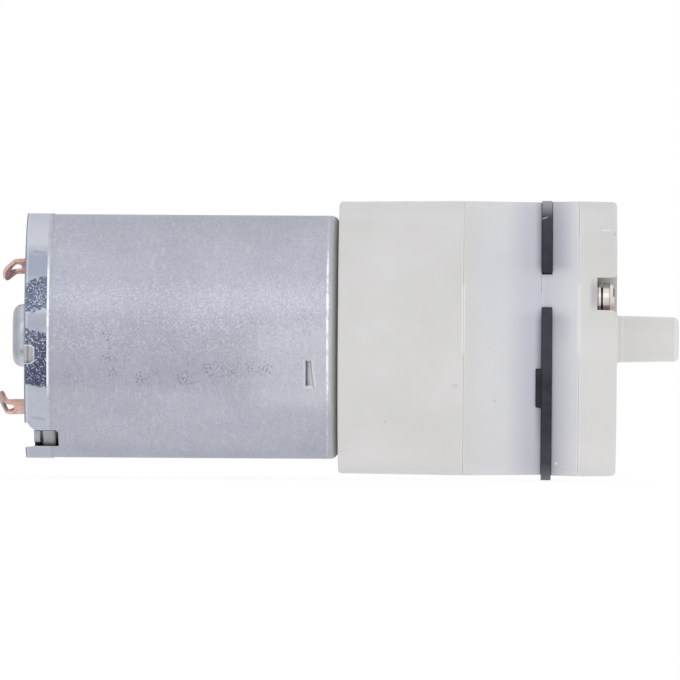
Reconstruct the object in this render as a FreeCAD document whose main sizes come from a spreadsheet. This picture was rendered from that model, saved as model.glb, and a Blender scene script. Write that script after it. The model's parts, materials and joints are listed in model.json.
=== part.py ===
import FreeCAD, Part
import math
import os
import Sketcher

# Diaphragm vacuum pump: a small brushed motor with a three-chamber wobble-plate head.
# Every body is drawn with its own Z along the shaft, zero at the plane where the head
# sits on the motor, and is then laid along the frame's X.

doc = FreeCAD.newDocument("diaphragm_vacuum_pump")
sheet = doc.addObject("Spreadsheet::Sheet", "Sizes")
V = FreeCAD.Vector
names = []


class Size:
    """A number that carries the formula it comes from, so that the drawing stays bound to the sheet."""

    def __init__(self, value, text=None):
        self.value = float(value)
        self.text = text or f"{float(value):.6g}"

    def __add__(self, other):
        other = as_size(other)
        return Size(self.value + other.value, f"({self.text} + {other.text})")

    def __sub__(self, other):
        other = as_size(other)
        return Size(self.value - other.value, f"({self.text} - {other.text})")

    def __mul__(self, other):
        other = as_size(other)
        return Size(self.value * other.value, f"({self.text} * {other.text})")

    def __truediv__(self, other):
        other = as_size(other)
        return Size(self.value / other.value, f"({self.text} / {other.text})")

    def __radd__(self, other):
        return as_size(other) + self

    def __rsub__(self, other):
        return as_size(other) - self

    def __rmul__(self, other):
        return as_size(other) * self

    def __neg__(self):
        return Size(-self.value, f"(0 - {self.text})")


def as_size(item):
    return item if isinstance(item, Size) else Size(item)


def sine(angle):
    angle = as_size(angle)
    return Size(math.sin(math.radians(angle.value)), f"sin({angle.text})")


def cosine(angle):
    angle = as_size(angle)
    return Size(math.cos(math.radians(angle.value)), f"cos({angle.text})")


def across(radius, height):
    """Half the width of a circle at a height."""
    radius, height = as_size(radius), as_size(height)
    half = math.sqrt(radius.value ** 2 - height.value ** 2)
    return Size(half, f"sqrt({radius.text} * {radius.text} - {height.text} * {height.text})")


def dimension(name, value):
    """Adds one driving size to the sheet."""
    names.append(name)
    row = len(names)
    sheet.set(f"A{row}", name)
    sheet.set(f"B{row}", str(value))
    sheet.setAlias(f"B{row}", name)
    return Size(value, "Sizes." + name)


# Frame: the origin is the middle of the motor's clamp zone, and the head seat is ahead of it.
seat = dimension("seat", 14.6)
head_turn = dimension("head_turn", 40.8)
terminal_turn = dimension("terminal_turn", 51.9)

# Motor can
can_radius = dimension("can_radius", 12.1)
can_wall = dimension("can_wall", 0.8)
can_length = dimension("can_length", 31.0)
can_corner = dimension("can_corner", 0.8)
band_step = dimension("band_step", 0.07)
band_length = dimension("band_length", 2.5)
front_boss_radius = dimension("front_boss_radius", 3.05)
front_boss_height = dimension("front_boss_height", 1.5)
boss_wall = dimension("boss_wall", 0.6)
front_boss_hole = dimension("front_boss_hole", 1.5)
crimp_turn = dimension("crimp_turn", 188.9)
crimp_half_width = dimension("crimp_half_width", 0.86)
crimp_gap = dimension("crimp_gap", 0.03)
crimp_depth = dimension("crimp_depth", 0.5)
crimp_length = dimension("crimp_length", 0.92)
slot_high_share = dimension("slot_high_share", 0.7752)
slot_low_share = dimension("slot_low_share", 0.905)
slot_length = dimension("slot_length", 3.32)
slot_flare = dimension("slot_flare", 0.75)
slot_lip = dimension("slot_lip", 0.14)
slot_gap = dimension("slot_gap", 0.05)
lance_turn = dimension("lance_turn", 197.3)
lance_start = dimension("lance_start", 2.34)
lance_length = dimension("lance_length", 0.84)
lance_depth = dimension("lance_depth", 0.62)
lance_angle = dimension("lance_angle", 12.4)

# End plate, bushes and shaft
plate_recess = dimension("plate_recess", 0.89)
plate_thickness = dimension("plate_thickness", 0.6)
plate_gap = dimension("plate_gap", 0.05)
plate_tab_drop = dimension("plate_tab_drop", 0.37)
plate_tab_inset = dimension("plate_tab_inset", 0.22)
plate_vent_radius = dimension("plate_vent_radius", 1.1)
plate_vent_inset = dimension("plate_vent_inset", 5.8)
rear_boss_radius = dimension("rear_boss_radius", 3.15)
rear_boss_height = dimension("rear_boss_height", 2.32)
rear_boss_corner = dimension("rear_boss_corner", 1.0)
rear_boss_hole = dimension("rear_boss_hole", 1.3)
shaft_radius = dimension("shaft_radius", 1.0)
shaft_inset = dimension("shaft_inset", 0.4)
shaft_lead = dimension("shaft_lead", 3.3)
running_gap = dimension("running_gap", 0.02)
press_gap = dimension("press_gap", 0.01)
bush_inside = dimension("bush_inside", 0.8)
rear_bush_inside = dimension("rear_bush_inside", 0.35)
thrust_gap = dimension("thrust_gap", 0.1)
washer_radius = dimension("washer_radius", 1.7)
washer_thickness = dimension("washer_thickness", 0.3)

# Brush gear
holder_thickness = dimension("holder_thickness", 1.25)
holder_hole = dimension("holder_hole", 4.6)
holder_depth = dimension("holder_depth", 3.95)
holder_gap = dimension("holder_gap", 0.1)
skirt_wall = dimension("skirt_wall", 1.0)
lug_inset = dimension("lug_inset", 0.27)
lug_offset = dimension("lug_offset", 0.32)
lug_length = dimension("lug_length", 1.2)
magnet_thickness = dimension("magnet_thickness", 2.45)
magnet_gap = dimension("magnet_gap", 0.12)
magnet_angle = dimension("magnet_angle", 128)
clip_slack = dimension("clip_slack", 0.08)
clip_angle = dimension("clip_angle", 23.3)
clip_wire = dimension("clip_wire", 0.9)
clip_rear_gap = dimension("clip_rear_gap", 2.6)
clip_front_gap = dimension("clip_front_gap", 1.8)
strip_inset = dimension("strip_inset", 3.35)
strip_thickness = dimension("strip_thickness", 0.35)
strip_half_width = dimension("strip_half_width", 1.0)
strip_slack = dimension("strip_slack", 0.06)
upper_rise = dimension("upper_rise", 1.33)
upper_bend_angle = dimension("upper_bend_angle", 47)
upper_tongue = dimension("upper_tongue", 1.55)
upper_lean = dimension("upper_lean", 0.2)
lower_rise = dimension("lower_rise", 1.7)
lower_bend_angle = dimension("lower_bend_angle", 66)
lower_tongue = dimension("lower_tongue", 1.6)
lower_lean = dimension("lower_lean", -0.08)
bend_radius = dimension("bend_radius", 0.2)
eyelet_radius = dimension("eyelet_radius", 0.58)
arm_offset = dimension("arm_offset", 3.85)
arm_thickness = dimension("arm_thickness", 0.2)
arm_width = dimension("arm_width", 1.9)
arm_gap = dimension("arm_gap", 0.6)
brush_half_width = dimension("brush_half_width", 0.8)
brush_height = dimension("brush_height", 1.5)
brush_gap = dimension("brush_gap", 0.05)

# Rotor
sleeve_radius = dimension("sleeve_radius", 2.1)
sleeve_length = dimension("sleeve_length", 6.4)
segment_radius = dimension("segment_radius", 2.6)
segment_offset = dimension("segment_offset", 0.3)
segment_length = dimension("segment_length", 4.1)
segment_angle = dimension("segment_angle", 112)
hook_radius = dimension("hook_radius", 3.7)
hook_length = dimension("hook_length", 0.8)
varistor_radius = dimension("varistor_radius", 4.5)
varistor_thickness = dimension("varistor_thickness", 0.8)
spacer_length = dimension("spacer_length", 4.1)
core_rear_gap = dimension("core_rear_gap", 11.5)
air_gap = dimension("air_gap", 0.4)
hub_share = dimension("hub_share", 0.381)
pole_share = dimension("pole_share", 0.2024)
shoe_share = dimension("shoe_share", 0.137)
shoe_angle = dimension("shoe_angle", 104)
insulator_thickness = dimension("insulator_thickness", 0.4)
coil_overhang = dimension("coil_overhang", 2.0)
coil_share = dimension("coil_share", 0.4226)
coil_flare = dimension("coil_flare", 1.113)
coil_slack = dimension("coil_slack", 0.05)

# Head: layers along the shaft, seen from the seat
head_overhang = dimension("head_overhang", 1.56)
base_draft = dimension("base_draft", 0.14)
base_floor = dimension("base_floor", 1.8)
base_wall = dimension("base_wall", 1.96)
base_length = dimension("base_length", 12.4)
base_corner = dimension("base_corner", 0.35)
boss_slack = dimension("boss_slack", 0.1)
holder_length = dimension("holder_length", 7.74)
holder_draft = dimension("holder_draft", 0.1)
sheet_thickness = dimension("sheet_thickness", 0.99)
sheet_proud = dimension("sheet_proud", 0.24)
sheet_shift = dimension("sheet_shift", 0.19)
sheet_rounding = dimension("sheet_rounding", 0.2)
valve_plate_length = dimension("valve_plate_length", 2.67)
valve_plate_swell = dimension("valve_plate_swell", 0.02)
plate_draft = dimension("plate_draft", 0.06)
cover_length = dimension("cover_length", 3.77)
cover_draft = dimension("cover_draft", 0.03)
cover_corner = dimension("cover_corner", 0.45)
seam = dimension("seam", 0.1)
nozzle_root = dimension("nozzle_root", 2.33)
nozzle_draft = dimension("nozzle_draft", 0.14)
nozzle_length = dimension("nozzle_length", 6.22)
nozzle_wall = dimension("nozzle_wall", 1.18)
nozzle_root_fillet = dimension("nozzle_root_fillet", 0.4)
nozzle_tip_round = dimension("nozzle_tip_round", 0.5)

# Head screws
screw_inset = dimension("screw_inset", 2.16)
screw_radius = dimension("screw_radius", 1.0)
screw_slack = dimension("screw_slack", 0.1)
screw_foot = dimension("screw_foot", 4.2)
thread_gap = dimension("thread_gap", 0.02)
post_radius = dimension("post_radius", 1.9)
recess_radius = dimension("recess_radius", 2.66)
recess_floor = dimension("recess_floor", 1.8)
washer_disc = dimension("washer_disc", 1.85)
washer_height = dimension("washer_height", 0.35)
neck_radius = dimension("neck_radius", 1.3)
neck_height = dimension("neck_height", 0.23)
screw_head = dimension("screw_head", 1.78)
screw_head_height = dimension("screw_head_height", 1.12)
cross_width = dimension("cross_width", 0.42)
cross_reach = dimension("cross_reach", 1.3)
cross_depth = dimension("cross_depth", 0.6)
land_angle = dimension("land_angle", 14.6)
land_depth = dimension("land_depth", 1.9)
land_turn = dimension("land_turn", -1.4)
notch_angle = dimension("notch_angle", 15.2)
key_turn = dimension("key_turn", 160.5)
key_angle = dimension("key_angle", 16.9)
key_length = dimension("key_length", 0.55)
key_depth = dimension("key_depth", 2.6)
key_slack = dimension("key_slack", 0.04)

# Motor screws
motor_screw_inset = dimension("motor_screw_inset", 4.1)
motor_screw_radius = dimension("motor_screw_radius", 1.2)
motor_screw_head = dimension("motor_screw_head", 2.2)
motor_screw_head_height = dimension("motor_screw_head_height", 1.4)
motor_screw_tip = dimension("motor_screw_tip", 0.5)

# Drive
tilt = dimension("tilt", 8)
apex_offset = dimension("apex_offset", 0.5)
eccentric_radius = dimension("eccentric_radius", 4.5)
eccentric_gap = dimension("eccentric_gap", 0.8)
eccentric_drop = dimension("eccentric_drop", 5.0)
pin_radius = dimension("pin_radius", 0.75)
pin_foot = dimension("pin_foot", 0.6)
pin_end = dimension("pin_end", 1.1)
pin_gap = dimension("pin_gap", 0.04)
hub_radius = dimension("hub_radius", 2.4)
hub_reach = dimension("hub_reach", 4.0)
hub_top = dimension("hub_top", 0.2)
nose_radius = dimension("nose_radius", 1.2)
nose_gap = dimension("nose_gap", 0.05)
arm_plate_thickness = dimension("arm_plate_thickness", 1.4)
arm_plate_half_width = dimension("arm_plate_half_width", 1.6)
arm_plate_eye = dimension("arm_plate_eye", 2.0)
stem_hole = dimension("stem_hole", 1.3)

# Chambers
chamber_share = dimension("chamber_share", 0.4685)
chamber_web = dimension("chamber_web", 0.84)
cup_gap = dimension("cup_gap", 0.4)
cup_wall = dimension("cup_wall", 0.5)
cup_floor = dimension("cup_floor", 1.2)
cup_height = dimension("cup_height", 5.3)
stem_radius = dimension("stem_radius", 0.8)
stem_gap = dimension("stem_gap", 0.3)
bulb_radius = dimension("bulb_radius", 1.75)
bulb_length = dimension("bulb_length", 1.9)
sweep_depth = dimension("sweep_depth", 1.9)
sweep_wall = dimension("sweep_wall", 2.76)
socket_drop = dimension("socket_drop", 0.35)
flap_thickness = dimension("flap_thickness", 0.35)
flap_half_width = dimension("flap_half_width", 1.0)
intake_inset = dimension("intake_inset", 3.1)
intake_radius = dimension("intake_radius", 0.6)
exhaust_offset = dimension("exhaust_offset", 0.2)
pocket_margin = dimension("pocket_margin", 0.6)
exhaust_hole = dimension("exhaust_hole", 0.4)
exhaust_hole_circle = dimension("exhaust_hole_circle", 1.15)
umbrella_margin = dimension("umbrella_margin", 0.5)
umbrella_edge = dimension("umbrella_edge", 0.3)
umbrella_height = dimension("umbrella_height", 0.8)
umbrella_stem = dimension("umbrella_stem", 0.45)
umbrella_bulb = dimension("umbrella_bulb", 0.8)
plenum_margin = dimension("plenum_margin", 0.8)
plenum_depth = dimension("plenum_depth", 1.4)
plenum_wall = dimension("plenum_wall", 1.1)
collector_margin = dimension("collector_margin", 0.7)
gasket_margin = dimension("gasket_margin", 1.2)
gasket_thickness = dimension("gasket_thickness", 0.5)
port_turn = dimension("port_turn", 60)
port_offset = dimension("port_offset", 0.6)
port_radius = dimension("port_radius", 0.9)

doc.recompute()

# Radii and distances that follow from the sizes
can_bore = can_radius - can_wall
band_radius = can_radius + band_step
slot_high = can_radius * slot_high_share
slot_low = can_radius * slot_low_share
plate_tab_radius = can_radius - plate_tab_inset
plate_vent_centre = can_radius - plate_vent_inset
lug_radius = can_radius - lug_inset
holder_skirt = can_bore - holder_gap - skirt_wall
magnet_outer = can_bore - plate_gap
magnet_bore = magnet_outer - magnet_thickness
core_radius = magnet_bore - air_gap
strip_inner = can_radius - strip_inset
clip_radius = (can_bore - clip_slack) * cosine(clip_angle) - clip_wire
clip_half_width = (can_bore - clip_slack) * sine(clip_angle)
core_hub = core_radius * hub_share
coil_inner = core_radius * coil_share
pole_half_width = core_radius * pole_share
shoe_thickness = core_radius * shoe_share
motor_screw_circle = can_radius - motor_screw_inset
head_radius = can_radius + head_overhang
base_rear_radius = head_radius - base_draft
base_bore = head_radius - base_wall
holder_front_radius = head_radius - holder_draft
sheet_radius = head_radius + sheet_proud
valve_plate_radius = head_radius + valve_plate_swell
cover_radius = head_radius - cover_draft
sweep_radius = head_radius - sweep_wall
screw_circle = head_radius - screw_inset
land_inner = screw_circle - land_depth
key_inner = sheet_radius - key_depth
chamber_circle = head_radius * chamber_share
chamber_bore = chamber_circle * sine(60) - chamber_web
cup_radius = chamber_bore - cup_gap
socket_post = chamber_circle - chamber_bore
intake_circle = chamber_circle - intake_inset
plenum_radius = intake_circle + plenum_margin
collector_inner = plenum_radius + plenum_wall
collector_outer = screw_circle - recess_radius - collector_margin
gasket_radius = screw_circle - gasket_margin
exhaust_circle = (gasket_radius + plenum_radius) / 2 + exhaust_offset
exhaust_pocket = (gasket_radius - plenum_radius) / 2 - pocket_margin
umbrella_radius = exhaust_pocket - umbrella_margin
port_circle = exhaust_circle + port_offset
nozzle_tip = nozzle_root - nozzle_draft
nozzle_bore = nozzle_root - nozzle_wall

# Levels along the shaft that follow from the sizes
rim = -can_length
plate_outer = rim + plate_recess
plate_inner = plate_outer + plate_thickness
rear_boss_face = plate_outer - rear_boss_height
shaft_rear = rear_boss_face + shaft_inset
rear_bush_end = plate_inner + rear_bush_inside
sleeve_start = rear_bush_end + thrust_gap + washer_thickness
segment_start = sleeve_start + segment_offset
segment_end = segment_start + segment_length
lug_start = plate_inner + lug_offset
disc_end = plate_inner + holder_thickness
arm_start = disc_end + arm_gap
magnet_rear = plate_inner + holder_depth
magnet_front = -lance_start - lance_length - magnet_gap
spacer_front = -can_wall - bush_inside - thrust_gap - washer_thickness
core_front = spacer_front - spacer_length - insulator_thickness
core_rear = rim + core_rear_gap
shaft_front = front_boss_height + shaft_lead
eccentric_start = base_floor + eccentric_gap
apex = base_length + apex_offset
eccentric_end = apex - eccentric_drop
pin_reach = apex - shaft_front - pin_foot
screw_end = base_floor + screw_foot
sweep_level = base_length + sweep_depth
socket_face = apex + socket_drop
arm_under = apex - hub_top - arm_plate_thickness
arm_over = apex - hub_top
holder_top = base_length + holder_length
cup_bottom = holder_top - cup_height
sheet_top = holder_top + sheet_thickness
land_split = holder_top + sheet_thickness * 0.56
plate_top = sheet_top + valve_plate_length
gasket_seat = plate_top - gasket_thickness
cover_top = plate_top + cover_length
recess_level = plate_top + recess_floor
washer_top = recess_level + washer_height
head_level = washer_top + neck_height


def new_body(label, turn=0, leaning=False):
    """An empty body, laid along the frame's X, turned about the shaft; leaning: with the drive pin."""
    body = doc.addObject("PartDesign::Body", label)
    body.Label = label
    turn = as_size(turn)
    along = seat + apex if leaning else seat
    lay = f"rotation(vector(1, 0, 0), {turn.text}) * rotation(vector(1, 1, 1), 120)"
    if leaning:
        lay += f" * rotation(vector(0, 1, 0), {tilt.text})"
    body.setExpression("Placement", f"placement(vector({along.text}, 0, 0), {lay})")
    return body


def own(body, role):
    return next(item for item in body.Origin.OriginFeatures if item.Role == role)


def sketch_on(body, role, base, axis, angle):
    """A sketch on one of the body's own planes, moved to base and turned about axis."""
    sketch = body.newObject("Sketcher::SketchObject", "sketch")
    sketch.AttachmentSupport = [(own(body, role), "")]
    sketch.MapMode = "FlatFace"
    base = [as_size(item) for item in base]
    angle = as_size(angle)
    move = ", ".join(item.text for item in base)
    spin_axis = ", ".join(str(item) for item in axis)
    sketch.setExpression(
        "AttachmentOffset",
        f"placement(vector({move}), rotation(vector({spin_axis}), {angle.text}))",
    )
    return sketch


def bind(sketch, kind, first, second, value):
    """One coordinate of a sketch point, held at a formula."""
    value = as_size(value)
    number = sketch.addConstraint(Sketcher.Constraint(kind, -1, 1, first, second, value.value))
    sketch.setExpression(f"Constraints[{number}]", value.text)


def draw_outline(sketch, corners):
    """A closed outline of straight lines through the corners."""
    corners = [(as_size(x), as_size(y)) for x, y in corners]
    start = sketch.GeometryCount
    count = len(corners)
    for number, (x, y) in enumerate(corners):
        next_x, next_y = corners[(number + 1) % count]
        sketch.addGeometry(
            Part.LineSegment(V(x.value, y.value, 0), V(next_x.value, next_y.value, 0)), False
        )
    for number in range(count):
        sketch.addConstraint(
            Sketcher.Constraint("Coincident", start + number, 2, start + (number + 1) % count, 1)
        )
    for number, (x, y) in enumerate(corners):
        bind(sketch, "DistanceX", start + number, 1, x)
        bind(sketch, "DistanceY", start + number, 1, y)


def draw_box(sketch, left, right, low, high):
    draw_outline(sketch, [(left, low), (right, low), (right, high), (left, high)])


def draw_circle(sketch, x, y, radius):
    x, y, radius = as_size(x), as_size(y), as_size(radius)
    number = sketch.addGeometry(Part.Circle(V(x.value, y.value, 0), V(0, 0, 1), radius.value), False)
    bind(sketch, "DistanceX", number, 3, x)
    bind(sketch, "DistanceY", number, 3, y)
    held = sketch.addConstraint(Sketcher.Constraint("Radius", number, radius.value))
    sketch.setExpression(f"Constraints[{held}]", radius.text)


def flat(body, height, turn=0):
    """A sketch across the shaft at a height."""
    return sketch_on(body, "XY_Plane", (0, 0, height), (0, 0, 1), turn)


def section(body, turn=0, centre=(0, 0)):
    """A sketch that holds the shaft: its X is the radius and its Y is the body's Z."""
    across, up = centre
    return sketch_on(body, "XZ_Plane", (across, 0, -as_size(up)), (0, 1, 0), turn)


def facing(body, turn, radius):
    """A sketch that faces outward at a turn about the shaft, at a radius."""
    turn = as_size(turn) + 90
    radius = as_size(radius)
    return sketch_on(body, "XZ_Plane", (radius * sine(turn), 0, radius * cosine(turn)), (0, 1, 0), turn)


def finish(body, feature):
    body.Tip = feature
    return feature


def extrude(body, sketch, length, cut=False, middle=False):
    """Adds or cuts the sketch's outline along its normal."""
    feature = body.newObject("PartDesign::Pocket" if cut else "PartDesign::Pad", "step")
    feature.Profile = sketch
    feature.setExpression("Length", as_size(length).text)
    if cut:
        feature.Reversed = True
    if middle:
        feature.Midplane = True
    return finish(body, feature)


def spin(body, corners, angle=360, turn=0, centre=(0, 0), cut=False):
    """Adds or cuts an outline of radius and height, spun about the shaft or a parallel line."""
    sketch = section(body, turn, centre)
    draw_outline(sketch, corners)
    return spin_sketch(body, sketch, angle, cut)


def spin_sketch(body, sketch, angle=360, cut=False):
    feature = body.newObject("PartDesign::Groove" if cut else "PartDesign::Revolution", "step")
    feature.Profile = sketch
    feature.ReferenceAxis = (sketch, ["V_Axis"])
    if angle == 360:
        feature.Angle = 360
    else:
        feature.Midplane = True
        feature.setExpression("Angle", as_size(angle).text)
    return finish(body, feature)


def ball(body, height, radius, cut=False):
    """Adds or cuts a ball on the shaft line."""
    height, radius = as_size(height), as_size(radius)
    sketch = section(body)
    middle = V(0, height.value, 0)
    arc = Part.ArcOfCircle(Part.Circle(middle, V(0, 0, 1), radius.value), -math.pi / 2, math.pi / 2)
    sketch.addGeometry(arc, False)
    low, high = V(0, height.value - radius.value, 0), V(0, height.value + radius.value, 0)
    sketch.addGeometry(Part.LineSegment(high, low), False)
    sketch.addConstraint(Sketcher.Constraint("Coincident", 0, 2, 1, 1))
    sketch.addConstraint(Sketcher.Constraint("Coincident", 1, 2, 0, 1))
    bind(sketch, "DistanceX", 1, 1, 0)
    bind(sketch, "DistanceX", 1, 2, 0)
    bind(sketch, "DistanceY", 1, 1, height + radius)
    bind(sketch, "DistanceY", 1, 2, height - radius)
    bind(sketch, "DistanceX", 0, 3, 0)
    return spin_sketch(body, sketch, cut=cut)


def repeat(body, steps, count):
    """Repeats steps evenly about the shaft."""
    feature = body.newObject("PartDesign::PolarPattern", "repeat")
    feature.Originals = steps
    feature.Axis = (own(body, "Z_Axis"), [""])
    feature.Angle = 360
    feature.Occurrences = count
    return finish(body, feature)


def round_edges(body, radius, wanted):
    """Rounds the edges of the body so far that the test picks."""
    doc.recompute()
    base = body.Tip
    picked = [f"Edge{n}" for n, edge in enumerate(base.Shape.Edges, 1) if wanted(edge)]
    feature = body.newObject("PartDesign::Fillet", "rounding")
    feature.Base = (base, picked)
    feature.setExpression("Radius", as_size(radius).text)
    return finish(body, feature)


def rims(*wanted):
    """A test that picks circular edges about the shaft by radius and height."""
    wanted = [(as_size(r).value, as_size(z).value) for r, z in wanted]

    def test(edge):
        curve = edge.Curve
        if curve.TypeId != "Part::GeomCircle":
            return False
        place = (curve.Radius, curve.Center.z)
        centred = math.hypot(curve.Center.x, curve.Center.y) < 0.001
        return centred and any(math.dist(place, item) < 0.002 for item in wanted)

    return test


def motor_can():
    """Drawn steel can with the front bearing boss, rear slots, crimps and magnet stops."""
    body = new_body("motor_can")
    step = rim + band_length
    crimp_reach = plate_recess - crimp_gap
    boss_bore = front_boss_radius - boss_wall
    boss_floor = front_boss_height - boss_wall
    spin(body, [
        (front_boss_hole, front_boss_height), (front_boss_radius, front_boss_height),
        (front_boss_radius, 0), (can_radius, 0), (can_radius, step), (band_radius, step + 0.15),
        (band_radius, rim), (can_bore, rim), (can_bore, -can_wall), (boss_bore, -can_wall),
        (boss_bore, boss_floor), (front_boss_hole, boss_floor),
    ])
    round_edges(body, can_corner, rims((can_radius, 0)))
    crimp_outline = [
        (-crimp_half_width, rim - 0.1), (crimp_half_width, rim - 0.1),
        (crimp_half_width, rim + crimp_length - 0.35), (crimp_half_width - 0.3, rim + crimp_length),
        (0.3 - crimp_half_width, rim + crimp_length), (-crimp_half_width, rim + crimp_length - 0.35),
    ]
    dent = facing(body, crimp_turn, can_radius - crimp_depth)
    draw_outline(dent, crimp_outline)
    dent = extrude(body, dent, crimp_depth + 0.4, cut=True)
    tongue = facing(body, crimp_turn, can_bore - crimp_depth)
    draw_box(tongue, 0.1 - crimp_half_width, crimp_half_width - 0.1, rim, rim + crimp_reach)
    tongue = extrude(body, tongue, crimp_depth + 0.25)
    repeat(body, [dent, tongue], 2)
    slots = facing(body, 180, -can_radius - 1)
    draw_outline(slots, [
        (slot_high + 0.2, rim + slot_length), (slot_high, rim + slot_length - 0.25),
        (slot_high, rim + 1), (slot_high - slot_flare * 0.44, rim + 0.57),
        (slot_high - slot_flare, rim + 0.25), (slot_high - slot_flare, rim - 0.1),
        (slot_low + slot_lip, rim - 0.1), (slot_low + slot_lip, rim + 0.3),
        (slot_low, rim + 0.8), (slot_low, rim + slot_length),
    ])
    extrude(body, slots, can_radius * 2 + 2, cut=True)
    lance_end = lance_start + lance_length
    inward = spin(body, [
        (can_bore + 0.1, -lance_start), (can_bore + 0.1, -lance_end),
        (can_bore - lance_depth, -lance_end),
    ], lance_angle - 0.6, lance_turn)
    dent = spin(body, [
        (can_radius + 0.1, -lance_start), (can_radius - lance_depth, -lance_end),
        (can_radius + 0.1, -lance_end),
    ], lance_angle, lance_turn, cut=True)
    repeat(body, [inward, dent], 2)
    hole = flat(body, -can_wall, head_turn)
    draw_circle(hole, 0, motor_screw_circle, motor_screw_radius + thread_gap)
    draw_circle(hole, 0, -motor_screw_circle, motor_screw_radius + thread_gap)
    extrude(body, hole, can_wall, cut=True)
    return body


def slot_blocks(body, height, length, radius, low):
    """A block in each of the can's two slots, out to a radius."""
    high = slot_high + slot_gap
    upper, lower = across(radius, high), across(radius, low)
    for side in (-1, 1):
        block = flat(body, height)
        draw_outline(block, [
            (upper * side, -high), (lower * side, -low),
            ((lower - 2.4) * side, -low), ((upper - 1.6) * side, -high),
        ])
        extrude(body, block, length)


def end_plate():
    """Steel disc that closes the can, with the drawn rear bearing cup."""
    body = new_body("end_plate")
    bore = rear_boss_radius - boss_wall
    radius = can_bore - plate_gap
    spin(body, [
        (rear_boss_hole, rear_boss_face), (rear_boss_radius, rear_boss_face),
        (rear_boss_radius, plate_outer), (radius, plate_outer), (radius, plate_inner),
        (bore, plate_inner), (bore, rear_boss_face + boss_wall),
        (rear_boss_hole, rear_boss_face + boss_wall),
    ])
    round_edges(body, rear_boss_corner, rims((rear_boss_radius, rear_boss_face)))
    slot_blocks(body, plate_outer, plate_thickness, plate_tab_radius, slot_low - plate_tab_drop)
    cuts = flat(body, plate_outer, terminal_turn)
    far = strip_inner + strip_thickness + 0.4
    draw_box(cuts, strip_inner - 0.4, far, -strip_half_width - 0.3, strip_half_width + 0.3)
    draw_box(cuts, -far, 0.4 - strip_inner, -strip_half_width - 0.3, strip_half_width + 0.3)
    draw_circle(cuts, 0, plate_vent_centre, plate_vent_radius)
    draw_circle(cuts, 0, -plate_vent_centre, plate_vent_radius)
    extrude(body, cuts, plate_thickness, cut=True)
    return body


def brush_holder():
    """Plastic disc with a skirt, slot lugs and posts that carry the brush gear."""
    body = new_body("brush_holder")
    radius = can_bore - holder_gap
    spin(body, [
        (holder_hole, plate_inner), (radius, plate_inner), (radius, magnet_rear),
        (holder_skirt, magnet_rear), (holder_skirt, disc_end), (holder_hole, disc_end),
    ])
    slot_blocks(body, lug_start, lug_length, lug_radius, slot_low - slot_gap)
    back = strip_inner + strip_thickness + strip_slack
    post = flat(body, disc_end, terminal_turn)
    draw_box(post, back, holder_skirt + 0.3, -strip_half_width - 0.5, strip_half_width + 0.5)
    post = extrude(body, post, magnet_rear - disc_end - 0.2)
    repeat(body, [post], 2)
    side = strip_half_width + strip_slack
    opening = flat(body, plate_inner, terminal_turn)
    draw_box(opening, strip_inner - strip_slack, back, -side, side)
    draw_box(opening, -back, strip_slack - strip_inner, -side, side)
    extrude(body, opening, holder_thickness, cut=True)
    return body


def terminal(label, turn, rise, angle, tongue, lean):
    """Copper strip through the end plate, bent toward the shaft, with an eyelet at the bend."""
    body = new_body(label)
    outer = strip_inner + strip_thickness
    foot = magnet_rear - strip_slack
    bend = can_length + rise
    inner_bend, outer_bend = strip_inner - lean, outer - lean
    lead = strip_thickness * sine(angle / 2) / cosine(angle / 2)
    tip_x, tip_z = tongue * sine(angle), tongue * cosine(angle)
    sketch = section(body, turn)
    draw_outline(sketch, [
        (strip_inner, foot), (outer, foot), (outer, plate_outer), (outer_bend, -bend - lead),
        (outer_bend - tip_x - lead * sine(angle), -bend - lead - tip_z - lead * cosine(angle)),
        (inner_bend - tip_x, -bend - tip_z), (inner_bend, -bend), (strip_inner, plate_outer),
    ])
    extrude(body, sketch, strip_half_width * 2, middle=True)
    lowest = -(bend + tip_z).value

    def bend_line(height):
        return lambda edge: edge.Length > 1.9 and abs(edge.CenterOfMass.z + height.value) < 0.002

    round_edges(body, bend_radius, bend_line(bend))
    round_edges(body, bend_radius + strip_thickness, bend_line(bend + lead))

    def tip_corners(edge):
        low = edge.CenterOfMass.z < lowest + 0.25
        return low and abs(edge.Length - strip_thickness.value) < 0.02

    round_edges(body, 0.75, tip_corners)
    hole = facing(body, turn, strip_inner - 1.2)
    draw_circle(hole, 0, -bend + 0.05, eyelet_radius)
    extrude(body, hole, 2.2, cut=True)
    return body


def brush_arms():
    """Two bent leaf springs."""
    body = new_body("brush_arms")
    sketch = flat(body, arm_start, terminal_turn)
    near = strip_inner - arm_thickness
    top = arm_offset + arm_thickness
    draw_outline(sketch, [
        (strip_inner, -strip_half_width), (strip_inner, top), (-brush_half_width - 0.2, top),
        (-brush_half_width - 0.2, arm_offset), (near, arm_offset), (near, -strip_half_width),
    ])
    repeat(body, [extrude(body, sketch, arm_width)], 2)
    return body


def brushes():
    """Two carbon blocks between the leaf springs and the commutator."""
    body = new_body("brushes")
    sketch = flat(body, arm_start + (arm_width - brush_height) / 2, terminal_turn)
    draw_box(sketch, -brush_half_width, brush_half_width, segment_radius + brush_gap, arm_offset)
    repeat(body, [extrude(body, sketch, brush_height)], 2)
    return body


def magnets():
    """Two arc magnets on the can's wall."""
    body = new_body("magnets")
    arc = spin(body, [
        (magnet_bore, magnet_rear), (magnet_outer, magnet_rear),
        (magnet_outer, magnet_front), (magnet_bore, magnet_front),
    ], magnet_angle, lance_turn)
    repeat(body, [arc], 2)
    return body


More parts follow.
